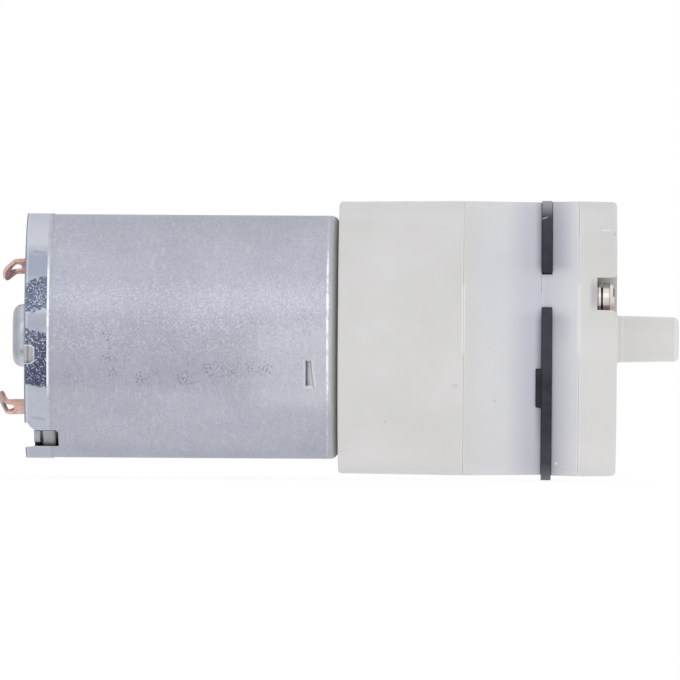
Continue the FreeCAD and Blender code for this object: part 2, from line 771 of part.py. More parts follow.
def magnet_clips():
    """Two sprung wire hairpins that hold the magnets apart."""
    body = new_body("magnet_clips")
    sketch = facing(body, lance_turn + 90, clip_radius)
    inner = clip_half_width - clip_wire
    rear, front = magnet_rear + clip_rear_gap, magnet_front - clip_front_gap
    draw_outline(sketch, [
        (-clip_half_width, rear), (-inner, rear), (-inner, front - clip_wire),
        (inner, front - clip_wire), (inner, rear), (clip_half_width, rear),
        (clip_half_width, front), (-clip_half_width, front),
    ])
    repeat(body, [extrude(body, sketch, clip_wire)], 2)
    return body


def bush(label, outer, low, high):
    """Plain bearing for the shaft."""
    body = new_body(label)
    bore = shaft_radius + running_gap
    spin(body, [(bore, low), (outer, low), (outer, high), (bore, high)])
    return body


def shaft():
    body = new_body("shaft")
    chamfer = 0.15
    spin(body, [
        (0, shaft_rear), (shaft_radius - chamfer, shaft_rear), (shaft_radius, shaft_rear + chamfer),
        (shaft_radius, shaft_front - chamfer), (shaft_radius - chamfer, shaft_front), (0, shaft_front),
    ])
    return body


def thrust_washers():
    """One washer at each bush."""
    body = new_body("thrust_washers")
    bore = shaft_radius + press_gap
    for low in (rear_bush_end + thrust_gap, spacer_front):
        spin(body, [
            (bore, low), (washer_radius, low),
            (washer_radius, low + washer_thickness), (bore, low + washer_thickness),
        ])
    return body


def spacer_sleeve():
    """Keeps the core off the front washer."""
    body = new_body("spacer_sleeve")
    bore = shaft_radius + press_gap
    low = core_front + insulator_thickness
    spin(body, [(bore, low), (washer_radius, low), (washer_radius, spacer_front), (bore, spacer_front)])
    return body


def armature_core():
    """Stack of three-pole laminations."""
    body = new_body("armature_core", head_turn)
    length = core_front - core_rear
    hub = flat(body, core_rear)
    draw_circle(hub, 0, 0, core_hub)
    draw_circle(hub, 0, 0, shaft_radius + press_gap)
    extrude(body, hub, length)
    pole = flat(body, core_rear)
    draw_box(pole, core_hub - 0.6, core_radius - 0.5, -pole_half_width, pole_half_width)
    pole = extrude(body, pole, length)
    inner = core_radius - shoe_thickness
    shoe = spin(body, [
        (inner, core_rear), (core_radius, core_rear), (core_radius, core_front), (inner, core_front),
    ], shoe_angle)
    repeat(body, [pole, shoe], 3)
    return body


def core_insulators():
    """A three-armed card at each end of the stack."""
    body = new_body("core_insulators", head_turn)
    for low in (core_rear - insulator_thickness, core_front):
        disc = flat(body, low)
        draw_circle(disc, 0, 0, core_hub)
        draw_circle(disc, 0, 0, shaft_radius + press_gap)
        extrude(body, disc, insulator_thickness)
        arm = flat(body, low)
        draw_box(arm, core_hub - 0.6, core_radius - shoe_thickness, -pole_half_width, pole_half_width)
        repeat(body, [extrude(body, arm, insulator_thickness)], 3)
    return body


def windings():
    """Three coils, one about each pole."""
    body = new_body("windings", head_turn)
    low = core_rear - insulator_thickness - coil_overhang
    high = core_front + insulator_thickness + coil_overhang
    side = pole_half_width + coil_slack
    reach = core_radius - shoe_thickness - 0.45
    outer = flat(body, low)
    draw_outline(outer, [
        (coil_inner, -coil_inner), (reach * 0.853, -coil_inner * coil_flare), (reach, -side - 0.2),
        (reach, side + 0.2), (reach * 0.853, coil_inner * coil_flare), (coil_inner, coil_inner),
    ])
    coil = extrude(body, outer, high - low)
    window = flat(body, core_rear - insulator_thickness)
    draw_box(window, coil_inner - 0.5, reach + 0.5, -side, side)
    window = extrude(body, window, core_front - core_rear + 2 * insulator_thickness, cut=True)
    repeat(body, [coil, window], 3)
    return body


def commutator_sleeve():
    body = new_body("commutator_sleeve", head_turn)
    bore = shaft_radius + press_gap
    high = sleeve_start + sleeve_length
    spin(body, [(bore, sleeve_start), (sleeve_radius, sleeve_start), (sleeve_radius, high), (bore, high)])
    return body


def commutator_segments():
    """Three copper segments with wire hooks."""
    body = new_body("commutator_segments", head_turn)
    root = sleeve_radius + press_gap
    bar = spin(body, [
        (root, segment_start), (segment_radius, segment_start),
        (segment_radius, segment_end), (root, segment_end),
    ], segment_angle, 60)
    hook = spin(body, [
        (root, segment_end), (hook_radius, segment_end),
        (hook_radius, segment_end + hook_length), (root, segment_end + hook_length),
    ], 30, 60)
    repeat(body, [bar, hook], 3)
    return body


def varistor_ring():
    """Ceramic ring soldered on the hooks."""
    body = new_body("varistor_ring", head_turn)
    low = segment_end + hook_length
    root = sleeve_radius + 0.2
    spin(body, [
        (root, low), (varistor_radius, low),
        (varistor_radius, low + varistor_thickness), (root, low + varistor_thickness),
    ])
    return body


def pump_base():
    """Cup that sits on the motor and holds the drive."""
    body = new_body("pump_base", head_turn)
    bore = front_boss_radius + boss_slack
    spin(body, [
        (bore, 0), (base_rear_radius, 0), (head_radius, base_length), (base_bore, base_length),
        (base_bore, base_floor), (bore, base_floor),
    ])
    round_edges(body, base_corner, rims((base_rear_radius, 0)))
    round_edges(body, seam, rims((head_radius, base_length)))
    post = flat(body, base_floor)
    draw_circle(post, screw_circle - 0.1, 0, post_radius)
    post = extrude(body, post, base_length - base_floor)
    repeat(body, [post], 3)
    hole = flat(body, screw_end - 0.5)
    draw_circle(hole, screw_circle, 0, screw_radius + thread_gap)
    hole = extrude(body, hole, base_length - screw_end + 0.5, cut=True)
    repeat(body, [hole], 3)
    holes = flat(body, 0)
    draw_circle(holes, 0, motor_screw_circle, motor_screw_radius + 0.15)
    draw_circle(holes, 0, -motor_screw_circle, motor_screw_radius + 0.15)
    extrude(body, holes, base_floor, cut=True)
    return body


def motor_screws():
    """Two pan-head screws from inside the base into the can's front."""
    body = new_body("motor_screws", head_turn)
    top = base_floor + motor_screw_head_height
    tip = -can_wall - motor_screw_tip
    for side in (1, -1):
        place = (0, side * motor_screw_circle)
        spin(body, [
            (0, tip), (motor_screw_radius - 0.3, tip),
            (motor_screw_radius, tip + 0.3), (motor_screw_radius, base_floor),
            (motor_screw_head, base_floor), (motor_screw_head, top - 0.5),
            (motor_screw_head - 0.6, top), (0, top),
        ], centre=place)
        cross(body, place, top)
    return body


def cross(body, place, top):
    """Cuts the cross recess in a screw's head."""
    x, y = place
    for across, along in ((cross_width / 2, cross_reach), (cross_reach, cross_width / 2)):
        slot = flat(body, top - cross_depth)
        draw_box(slot, x - across, x + across, y - along, y + along)
        extrude(body, slot, cross_depth + 0.1, cut=True)


def eccentric():
    """Collar on the shaft that carries the leaning pin."""
    body = new_body("eccentric", head_turn)
    bore = shaft_radius + press_gap
    spin(body, [
        (bore, eccentric_start), (eccentric_radius, eccentric_start),
        (eccentric_radius, eccentric_end), (0, eccentric_end),
        (0, shaft_front + 0.1), (bore, shaft_front + 0.1),
    ])
    sketch = sketch_on(body, "XZ_Plane", (0, apex, 0), (0, 0, -1), tilt)
    draw_outline(sketch, [
        (0, -pin_reach), (pin_radius + press_gap, -pin_reach),
        (pin_radius + press_gap, eccentric_end - apex + 1.5), (0, eccentric_end - apex + 1.5),
    ])
    spin_sketch(body, sketch, cut=True)
    round_edges(body, 0.3, rims((eccentric_radius, eccentric_end), (eccentric_radius, eccentric_start)))
    return body


def drive_pin():
    """Steel pin that leans toward the apex of the wobble."""
    body = new_body("drive_pin", head_turn, leaning=True)
    spin(body, [
        (0, -pin_reach), (pin_radius, -pin_reach), (pin_radius, -pin_end - 0.2),
        (pin_radius - 0.2, -pin_end), (0, -pin_end),
    ])
    return body


def wobble_plate():
    """Hub on the pin with a ball nose and one arm for each diaphragm cup."""
    body = new_body("wobble_plate", head_turn, leaning=True)
    spin(body, [(0, -hub_reach), (hub_radius, -hub_reach), (hub_radius, -hub_top), (0, -hub_top)])
    ball(body, 0, nose_radius)
    under = -hub_top - arm_plate_thickness
    arm = flat(body, under, 60)
    draw_box(arm, 0, chamber_circle, -arm_plate_half_width, arm_plate_half_width)
    arm = extrude(body, arm, arm_plate_thickness)
    eye = flat(body, under, 60)
    draw_circle(eye, chamber_circle, 0, arm_plate_eye)
    eye = extrude(body, eye, arm_plate_thickness)
    hole = flat(body, under, 60)
    draw_circle(hole, chamber_circle, 0, stem_hole)
    hole = extrude(body, hole, arm_plate_thickness, cut=True)
    repeat(body, [arm, eye, hole], 3)
    pin_hole = flat(body, -hub_reach)
    draw_circle(pin_hole, 0, 0, pin_radius + pin_gap)
    extrude(body, pin_hole, hub_reach - pin_end + 0.1, cut=True)
    return body


def chamber_stroke(turn):
    """How far a chamber's stem stands off its middle with the pin at rest."""
    return -chamber_circle * cosine(turn) * sine(tilt)


def diaphragm():
    """Rubber sheet with three cups, their stems, the intake flaps and a key on its rim."""
    body = new_body("diaphragm", head_turn)
    shift = (-sheet_shift * sine(head_turn), -sheet_shift * cosine(head_turn))
    disc = flat(body, holder_top)
    draw_circle(disc, shift[0], shift[1], sheet_radius)
    extrude(body, disc, sheet_thickness)
    key_low = holder_top - key_length
    spin(body, [
        (key_inner, key_low), (sheet_radius - 0.1, key_low),
        (sheet_radius - 0.1, holder_top + 0.3), (key_inner, holder_top + 0.3),
    ], key_angle, key_turn)
    notch = spin(body, [
        (land_inner - 0.1, holder_top), (sheet_radius + 0.5, holder_top),
        (sheet_radius + 0.5, sheet_top), (land_inner - 0.1, sheet_top),
    ], notch_angle, land_turn, cut=True)
    opening = flat(body, holder_top, 60)
    draw_circle(opening, chamber_circle, 0, cup_radius - cup_wall)
    opening = extrude(body, opening, sheet_thickness, cut=True)
    repeat(body, [notch, opening], 3)

    def notch_edges(edge):
        ends = [vertex.Point for vertex in edge.Vertexes]
        level = edge.BoundBox.ZLength < 0.001
        return level and edge.Curve.TypeId == "Part::GeomLine" and len(ends) == 2 and all(
            math.hypot(end.x, end.y) > land_inner.value - 0.3 for end in ends
        )

    round_edges(body, sheet_rounding, notch_edges)
    for turn in (60, 180, 300):
        cup(body, turn)
    flap = flat(body, sheet_top - flap_thickness, 60)
    near = chamber_circle - cup_radius + cup_wall - 0.6
    draw_box(flap, near, intake_circle + 1.1, -flap_half_width, flap_half_width)
    repeat(body, [extrude(body, flap, flap_thickness)], 3)
    return body


def cup(body, turn):
    """One diaphragm cup, pushed to where its arm holds it."""
    off = chamber_stroke(turn)
    inner = cup_radius - cup_wall
    under = cup_bottom + off
    shoulder = arm_over + stem_gap + off
    bulb_top = arm_under - stem_gap + off
    spin(body, [
        (0, bulb_top - bulb_length), (0.7, bulb_top - bulb_length), (bulb_radius, bulb_top - 0.3),
        (bulb_radius, bulb_top), (stem_radius, bulb_top), (stem_radius, shoulder),
        (stem_radius * 2, shoulder), (stem_radius * 2, under), (cup_radius - 1.2, under),
        (cup_radius, under + 1.1), (cup_radius, holder_top - 0.6), (cup_radius + 0.3, holder_top),
        (cup_radius + 0.3, holder_top + 0.5), (inner, holder_top + 0.5), (inner, under + cup_floor + 0.8),
        (inner - 0.8, under + cup_floor), (0, under + cup_floor),
    ], centre=(chamber_circle * cosine(turn), chamber_circle * sine(turn)))


def lands(body, low, high, radius):
    """Blocks about the screws that reach into the sheet's notches."""
    corners = [(land_inner, low), (radius, low), (radius, high), (land_inner, high)]
    return repeat(body, [spin(body, corners, land_angle, land_turn)], 3)


def screw_holes(body, low, high):
    hole = flat(body, low)
    draw_circle(hole, screw_circle, 0, screw_radius + screw_slack)
    repeat(body, [extrude(body, hole, high - low, cut=True)], 3)


def diaphragm_holder():
    """Ring with the three chamber bores and the socket for the wobble plate's nose."""
    body = new_body("diaphragm_holder", head_turn)
    spin(body, [
        (0, sweep_level), (sweep_radius, sweep_level), (sweep_radius, base_length),
        (head_radius, base_length), (holder_front_radius, holder_top), (0, holder_top),
    ])
    round_edges(body, seam, rims((head_radius, base_length), (holder_front_radius, holder_top)))
    bore = flat(body, sweep_level, 60)
    draw_circle(bore, chamber_circle, 0, chamber_bore)
    repeat(body, [extrude(body, bore, holder_top - sweep_level, cut=True)], 3)
    post = flat(body, socket_face)
    draw_circle(post, 0, 0, socket_post)
    extrude(body, post, holder_top - socket_face - 1)
    ball(body, apex, nose_radius + nose_gap, cut=True)
    lands(body, holder_top, land_split, holder_front_radius - 0.03)
    screw_holes(body, base_length, land_split)
    side = 2 * key_slack / key_inner * math.degrees(1)
    spin(body, [
        (key_inner - key_slack, holder_top - key_length - key_slack),
        (sheet_radius + 0.3, holder_top - key_length - key_slack),
        (sheet_radius + 0.3, holder_top + 0.2), (key_inner - key_slack, holder_top + 0.2),
    ], key_angle + side, key_turn, cut=True)
    return body


def valve_plate():
    """Plate with the intake and exhaust ports of the three chambers."""
    body = new_body("valve_plate", head_turn)
    seat_radius = gasket_radius + plate_gap
    spin(body, [
        (0, sheet_top), (valve_plate_radius - plate_draft, sheet_top), (valve_plate_radius, plate_top),
        (seat_radius, plate_top), (seat_radius, gasket_seat), (0, gasket_seat),
    ])
    edges = rims((valve_plate_radius - plate_draft, sheet_top), (valve_plate_radius, plate_top))
    round_edges(body, seam, edges)
    lands(body, land_split, sheet_top + 0.3, holder_front_radius - 0.03)
    screw_holes(body, land_split, plate_top)
    ports = flat(body, sheet_top, 60)
    draw_circle(ports, intake_circle, 0, intake_radius)
    draw_circle(ports, exhaust_circle, 0, umbrella_stem + 0.05)
    for turn in (0, 120, 240):
        x = exhaust_circle + exhaust_hole_circle * cosine(turn)
        draw_circle(ports, x, exhaust_hole_circle * sine(turn), exhaust_hole)
    repeat(body, [extrude(body, ports, gasket_seat - sheet_top, cut=True)], 3)
    return body


def exhaust_valves():
    """Three rubber umbrellas on the valve plate."""
    body = new_body("exhaust_valves", head_turn)
    for turn in (60, 180, 300):
        spin(body, [
            (0, sheet_top - 1.1), (0.4, sheet_top - 1.1), (umbrella_bulb, sheet_top - 0.35),
            (umbrella_bulb, sheet_top - 0.1), (umbrella_stem, sheet_top - 0.1),
            (umbrella_stem, gasket_seat), (umbrella_radius, gasket_seat),
            (umbrella_radius, gasket_seat + umbrella_edge),
            (0.7, gasket_seat + umbrella_height), (0, gasket_seat + umbrella_height),
        ], centre=(exhaust_circle * cosine(turn), exhaust_circle * sine(turn)))
    return body


def head_gasket():
    """Rubber sheet between the valve plate and the cover."""
    body = new_body("head_gasket", head_turn)
    sketch = flat(body, gasket_seat)
    draw_circle(sketch, 0, 0, gasket_radius)
    draw_circle(sketch, 0, 0, plenum_radius)
    extrude(body, sketch, gasket_thickness)
    hole = flat(body, gasket_seat, 60)
    draw_circle(hole, exhaust_circle, 0, exhaust_pocket)
    repeat(body, [extrude(body, hole, gasket_thickness, cut=True)], 3)
    return body


def head_cover():
    """End cover with the nozzle, the two plenums, the exhaust port and the screw recesses."""
    body = new_body("head_cover", head_turn)
    edge = cover_radius + plate_draft
    spin(body, [
        (0, plate_top), (edge, plate_top), (cover_radius, cover_top), (nozzle_root, cover_top),
        (nozzle_tip, cover_top + nozzle_length), (0, cover_top + nozzle_length),
    ])
    round_edges(body, cover_corner, rims((cover_radius, cover_top)))
    round_edges(body, seam, rims((edge, plate_top)))
    round_edges(body, nozzle_root_fillet, rims((nozzle_root, cover_top)))
    round_edges(body, nozzle_tip_round, rims((nozzle_tip, cover_top + nozzle_length)))
    inside = flat(body, plate_top)
    draw_circle(inside, 0, 0, plenum_radius)
    extrude(body, inside, plenum_depth, cut=True)
    bore = flat(body, plate_top)
    draw_circle(bore, 0, 0, nozzle_bore)
    extrude(body, bore, cover_length + nozzle_length, cut=True)
    collector = flat(body, plate_top)
    draw_circle(collector, 0, 0, collector_inner)
    draw_circle(collector, 0, 0, collector_outer)
    extrude(body, collector, plenum_depth - 0.2, cut=True)
    pocket = flat(body, plate_top, 60)
    draw_circle(pocket, exhaust_circle, 0, exhaust_pocket)
    pocket = extrude(body, pocket, plenum_depth, cut=True)
    recess = flat(body, recess_level)
    draw_circle(recess, screw_circle, 0, recess_radius)
    recess = extrude(body, recess, cover_length - recess_floor, cut=True)
    repeat(body, [pocket, recess], 3)
    screw_holes(body, plate_top, recess_level)
    port = flat(body, plate_top, port_turn)
    draw_circle(port, port_circle, 0, port_radius)
    extrude(body, port, cover_length, cut=True)
    return body


def head_washers():
    body = new_body("head_washers", head_turn)
    sketch = flat(body, recess_level)
    draw_circle(sketch, screw_circle, 0, washer_disc)
    draw_circle(sketch, screw_circle, 0, screw_radius + screw_slack)
    repeat(body, [extrude(body, sketch, washer_height)], 3)
    return body


def head_screws():
    """Three long pan-head screws through the head into the base."""
    body = new_body("head_screws", head_turn)
    top = head_level + screw_head_height
    for turn in (0, 120, 240):
        place = (screw_circle * cosine(turn), screw_circle * sine(turn))
        spin(body, [
            (0, screw_end), (screw_radius - 0.4, screw_end), (screw_radius, screw_end + 0.6),
            (screw_radius, washer_top), (neck_radius, washer_top), (neck_radius, head_level),
            (screw_head, head_level), (screw_head, top - 0.45), (screw_head - 0.45, top), (0, top),
        ], centre=place)
        cross(body, place, top)
    return body


def build():
    front_floor = front_boss_height - boss_wall
    rear_floor = rear_boss_face + boss_wall
    upper = (upper_rise, upper_bend_angle, upper_tongue, upper_lean)
    lower = (lower_rise, lower_bend_angle, lower_tongue, lower_lean)
    return [
        motor_can(),
        end_plate(),
        brush_holder(),
        terminal("terminal_upper", terminal_turn, *upper),
        terminal("terminal_lower", terminal_turn + 180, *lower),
        brush_arms(),
        brushes(),
        magnets(),
        magnet_clips(),
        bush("front_bush", front_boss_radius - boss_wall - press_gap, -can_wall - bush_inside, front_floor),
        bush("rear_bush", rear_boss_radius - boss_wall - press_gap, rear_floor, rear_bush_end),
        shaft(),
        thrust_washers(),
        spacer_sleeve(),
        armature_core(),
        core_insulators(),
        windings(),
        commutator_sleeve(),
        commutator_segments(),
        varistor_ring(),
        pump_base(),
        motor_screws(),
        eccentric(),
        drive_pin(),
        wobble_plate(),
        diaphragm(),
        diaphragm_holder(),
        valve_plate(),
        exhaust_valves(),
        head_gasket(),
        head_cover(),
        head_washers(),
        head_screws(),
    ]


bodies = build()
doc.recompute()

os.makedirs("parts", exist_ok=True)
for item in doc.Objects:
    if "Invalid" in item.State or "Error" in item.State:
        raise RuntimeError(f"{item.Label} of {item.Name} did not build")
for body in bodies:
    shape = body.Shape
    if shape.isNull() or not shape.isValid():
        raise RuntimeError(f"{body.Label} has no valid shape")
    shape.exportStep(f"parts/{body.Label}.step")
    print(body.Label, len(shape.Solids), round(shape.Volume, 1))
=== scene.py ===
import json
import math

import bpy
from mathutils import Matrix, Vector


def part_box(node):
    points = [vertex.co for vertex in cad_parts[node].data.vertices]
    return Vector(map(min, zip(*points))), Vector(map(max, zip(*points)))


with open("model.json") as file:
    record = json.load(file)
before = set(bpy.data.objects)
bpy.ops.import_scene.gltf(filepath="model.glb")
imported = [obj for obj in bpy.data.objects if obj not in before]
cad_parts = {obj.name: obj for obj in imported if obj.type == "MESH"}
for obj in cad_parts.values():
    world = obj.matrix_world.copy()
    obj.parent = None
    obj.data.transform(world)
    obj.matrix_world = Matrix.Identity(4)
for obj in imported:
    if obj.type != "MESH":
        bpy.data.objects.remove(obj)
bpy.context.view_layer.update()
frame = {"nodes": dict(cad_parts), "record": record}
nodes = frame["nodes"]
MM = 0.001

# Places along the frame's X, in millimetres, read from the CAD nodes
CAN_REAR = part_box("motor_can")[0].x / MM
PLATE_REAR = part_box("end_plate")[0].x / MM
HOLDER_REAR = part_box("brush_holder")[0].x / MM
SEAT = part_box("pump_base")[0].x / MM
BASE_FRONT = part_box("pump_base")[1].x / MM
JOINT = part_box("valve_plate")[0].x / MM
COVER_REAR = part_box("head_cover")[0].x / MM
COVER_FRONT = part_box("head_cover")[1].x / MM
SCREW_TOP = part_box("head_screws")[1].x / MM
WASHER_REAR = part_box("head_washers")[0].x / MM

# Measured in the photograph, in millimetres
BAND_FRONT = CAN_REAR + 2.25  # front end of the can's shiny rear band
SHEET_REAR, SHEET_FRONT = JOINT - 0.55, JOINT + 0.44  # faces of the black sheet
LANCE_REAR, LANCE_Z, LANCE_HALF = SEAT - 3.18, -3.6, 1.30  # magnet stop pressed into the can
NOTCH_COUNT, NOTCH_ANGLE = 3, math.radians(20.1)  # notches round the black sheet
LUG_TIP, LUG_TIP_END = -18.55, -18.2  # painted shade on the lower lug's tip: dark as far as the first, and fading out to the second
OUTER_SIDE = 5.5  # farther toward the camera than this, the spots lie on outer surfaces only

# The picture, and the camera that takes it
PICTURE_WIDTH = 680  # pixels
PIXELS_PER_MM = 10.05
SENSOR_WIDTH = 36  # millimetres, as the lens
CAMERA_DISTANCE = 1.6  # metres
CAMERA_AIM = Vector((14.70 * MM, 0, -0.26 * MM))
CAMERA_YAW, CAMERA_ROLL = math.radians(0.57), math.radians(0.353)

# The light
ROOM_COLOUR, ROOM_STRENGTH = (0.97, 0.98, 1.0), 0.86
LAMP_PLACE, LAMP_AIM = (0.10, -1.0, 0.70), (0.01, 0, 0)  # metres
LAMP_SIZE, LAMP_POWER = (1.4, 0.6), 1.1  # metres, watts
FLOOR_HALF, FLOOR_COLOUR, FLOOR_GLOW = 3.0, (0.9, 0.9, 0.9), 1.03
FLOOR_GLOW_SHARE = (0.7, 0.88)  # as it lights the pump, and as it is seen


def linear(colour):
    """A screen colour, 0 to 255, as the linear colour that shaders take."""
    shares = [value / 255 for value in colour]
    return (*[v / 12.92 if v <= 0.04045 else ((v + 0.055) / 1.055) ** 2.4 for v in shares], 1.0)


def scaled(colour, share):
    """The screen colour, darkened to a share of itself."""
    return tuple(value * share for value in colour)


class Tree:
    """Builds one material's node tree. Its x, y and z are in millimetres."""

    def __init__(self, name):
        self.material = bpy.data.materials.new(name)
        self.material.use_nodes = True
        self.tree = self.material.node_tree
        self.shader = self.tree.nodes["Principled BSDF"]
        self.point = self.node("ShaderNodeTexCoord").outputs["Object"]
        split = self.node("ShaderNodeSeparateXYZ")
        self.link(self.point, split.inputs[0])
        self.x, self.y, self.z = (self.times(part, 1 / MM) for part in split.outputs)

    def node(self, kind, **settings):
        made = self.tree.nodes.new(kind)
        for key, value in settings.items():
            setattr(made, key, value)
        return made

    def link(self, source, target):
        self.tree.links.new(source, target)

    def put(self, target, value):
        """Gives an input its value: a socket, a screen colour of three numbers, or the value itself."""
        if isinstance(value, bpy.types.NodeSocket):
            self.link(value, target)
        elif isinstance(value, tuple) and len(value) == 3:
            target.default_value = linear(value)
        else:
            target.default_value = value

    def set(self, **values):
        """Sets inputs of the material's shader."""
        for key, value in values.items():
            self.put(self.shader.inputs[key.replace("_", " ")], value)

    def math(self, operation, *values, clamp=False):
        made = self.node("ShaderNodeMath", operation=operation, use_clamp=clamp)
        for number, value in enumerate(values):
            self.put(made.inputs[number], value)
        return made.outputs[0]

    def plus(self, first, second):
        return self.math("ADD", first, second)

    def minus(self, first, second):
        return self.math("SUBTRACT", first, second)

    def times(self, first, *others):
        """The product. Of masks, it is one where all of them are one."""
        for other in others:
            first = self.math("MULTIPLY", first, other)
        return first

    def most(self, first, second):
        return self.math("MAXIMUM", first, second)

    def length(self, first, second):
        """The distance that two steps at a right angle make."""
        return self.math("SQRT", self.plus(self.times(first, first), self.times(second, second)))

    def stretch(self, x, y, z, shift=0.0):
        """The object's point, scaled along each axis and shifted."""
        made = self.node("ShaderNodeMapping")
        self.link(self.point, made.inputs["Vector"])
        made.inputs["Scale"].default_value = (x, y, z)
        made.inputs["Location"].default_value = (shift, shift * 0.7, shift * 1.3)
        return made.outputs[0]

    def noise(self, scale, detail=3.0, roughness=0.5, vector=None, distortion=0.0):
        """Noise from 0 to 1, with scale grains per metre."""
        made = self.node("ShaderNodeTexNoise")
        self.link(vector or self.point, made.inputs["Vector"])
        made.inputs["Scale"].default_value = scale
        made.inputs["Detail"].default_value = detail
        made.inputs["Roughness"].default_value = roughness
        made.inputs["Distortion"].default_value = distortion
        return made.outputs["Fac"] if "Fac" in made.outputs else made.outputs[0]

    def rise(self, value, low, high, start=0.0, end=1.0):
        """Goes from start to end as value goes from low to high, and stays there."""
        made = self.node("ShaderNodeMapRange")
        made.interpolation_type = "SMOOTHSTEP"
        self.put(made.inputs["Value"], value)
        made.inputs["From Min"].default_value = low
        made.inputs["From Max"].default_value = high
        made.inputs["To Min"].default_value = start
        made.inputs["To Max"].default_value = end
        return made.outputs["Result"]

    def fall(self, value, low, high):
        """Goes from one to nothing as value goes from low to high."""
        return self.rise(value, low, high, 1.0, 0.0)

    def bell(self, value, middle, half, soft):
        """One near middle, and nothing farther off than half plus soft."""
        off = self.math("ABSOLUTE", self.minus(value, middle))
        return self.fall(off, half, half + soft)

    def camera_side(self, depth=0.0):
        """One on the side that the camera sees, farther than depth from the shaft's axis."""
        return self.math("LESS_THAN", self.y, -depth)

    def mix(self, factor, first, second):
        made = self.node("ShaderNodeMix", data_type="RGBA")
        self.put(made.inputs[0], factor)
        self.put(made.inputs[6], first)
        self.put(made.inputs[7], second)
        return made.outputs[2]

    def clouds(self, noise, first, second, low=0.3, high=0.7):
        """Two colours that pass into each other with the noise."""
        return self.mix(self.rise(noise, low, high), first, second)

    def over(self, colour, paint, strength, *masks):
        """The colour, painted over where all the masks are one."""
        return self.mix(self.times(*masks, strength), colour, paint)

    def rough(self, noise, low, high):
        """A roughness that passes from low to high with the noise."""
        return self.rise(noise, 0.3, 0.7, low, high)

    def bump(self, height, strength, depth, after=None):
        """The surface's normal, bent by a height that is depth millimetres at its most."""
        made = self.node("ShaderNodeBump")
        self.put(made.inputs["Strength"], strength)
        made.inputs["Distance"].default_value = depth * MM
        self.link(height, made.inputs["Height"])
        if after is not None:
            self.link(after, made.inputs["Normal"])
        return made.outputs["Normal"]


def can_steel():
    """Zinc-plated can: grey side with wear, shiny rear band, painted shade and highlight at the front
    ridge, and the two pressed marks with painted light and shade.
    """
    t = Tree("zinc_steel_look")
    near = t.camera_side()
    cloud = t.noise(140, 4, 0.6)
    grain = t.noise(5200, 2, 0.6)
    band = t.fall(t.x, BAND_FRONT - 0.05, BAND_FRONT)
    corner = t.rise(t.x, SEAT - 0.85, SEAT - 0.55)
    colour = can_side(t, cloud, grain, near)
    colour = rear_band(t, colour, band, near)
    colour = front_ridge(t, colour, corner)
    colour = lance_marks(t, colour, near)
    colour = dent_marks(t, colour, near)
    fine = t.bump(cloud, 0.25, 0.12, t.bump(grain, 0.12, 0.02))
    tongue = t.times(
        t.bell(t.z, LANCE_Z, LANCE_HALF, 0.06), near, t.bell(t.x, LANCE_REAR + 0.42, 0.44, 0.04)
    )
    metallic = t.minus(0.9, t.times(t.most(corner, tongue), 0.6))
    rough = t.minus(t.rough(grain, 0.36, 0.48), t.times(band, 0.08))
    t.set(Base_Color=colour, Metallic=metallic, Roughness=rough, Normal=fine)
    t.set(Specular_Tint=(0.7, 0.7, 0.72, 1))
    return t.material


def can_side(t, cloud, grain, near):
    """Grey zinc with fine grain, a duller and a paler stretch, dark specks of wear, and light specks
    above the middle of the camera's side.
    """
    streak = t.noise(2600, 3, 0.6, t.stretch(1, 0.3, 0.3))
    colour = t.clouds(cloud, (182, 184, 196), (190, 192, 204), 0.35, 0.65)
    colour = t.mix(t.rise(grain, 0.4, 0.7, 0, 0.45), colour, (160, 163, 174))
    colour = t.mix(t.rise(streak, 0.48, 0.75, 0, 0.4), colour, (206, 209, 219))
    duller = t.times(t.rise(t.x, -4.0, 6.0, 1.0, 0.35), t.bell(t.z, 0.6, 4.4, 2.4))
    colour = t.over(colour, (150, 153, 166), 0.28, duller, near)
    paler = t.times(t.rise(t.x, 4.0, 9.0), t.bell(t.z, -2.8, 3.0, 2.0))
    colour = t.over(colour, (222, 223, 230), 0.32, paler, near)
    colour = t.over(colour, (98, 99, 106), 0.72, worn_patches(t, near))
    light = t.times(t.bell(t.z, 2.0, 3.0, 2.0), near)
    specks = t.rise(t.noise(5600, 2, 0.6, t.stretch(1, 1, 1, 0.4)), 0.52, 0.66)
    return t.over(colour, (218, 220, 229), 0.42, light, specks)


def worn_patches(t, near):
    """Clusters of small dark specks on the can's side."""
    total = None
    # Each one's x and half length, z and half height
    for x, half_x, z, half_z in (
        (-8.2, 0.2, -1.0, 1.3),
        (-7.7, 0.2, -3.1, 0.8),
        (-4.1, 0.9, -4.2, 0.4),
        (-0.4, 0.5, -4.1, 0.3),
        (3.0, 1.4, -3.4, 0.4),
        (6.7, 1.1, -3.2, 0.4),
        (-11.8, 0.3, -4.4, 0.3),
    ):
        patch = t.times(t.bell(t.x, x, half_x, 0.8), t.bell(t.z, z, half_z, 0.6))
        total = patch if total is None else t.most(total, patch)
    faint = t.times(t.bell(t.x, 0.0, 11.0, 3.0), t.bell(t.z, -1.5, 3.0, 1.5))
    total = t.most(total, t.times(faint, 0.3))
    broken = t.rise(t.noise(900, 2, 0.5), 0.42, 0.56, 0.4, 1.0)
    return t.times(total, near, broken, t.rise(t.noise(4600, 3, 0.7), 0.51, 0.62))


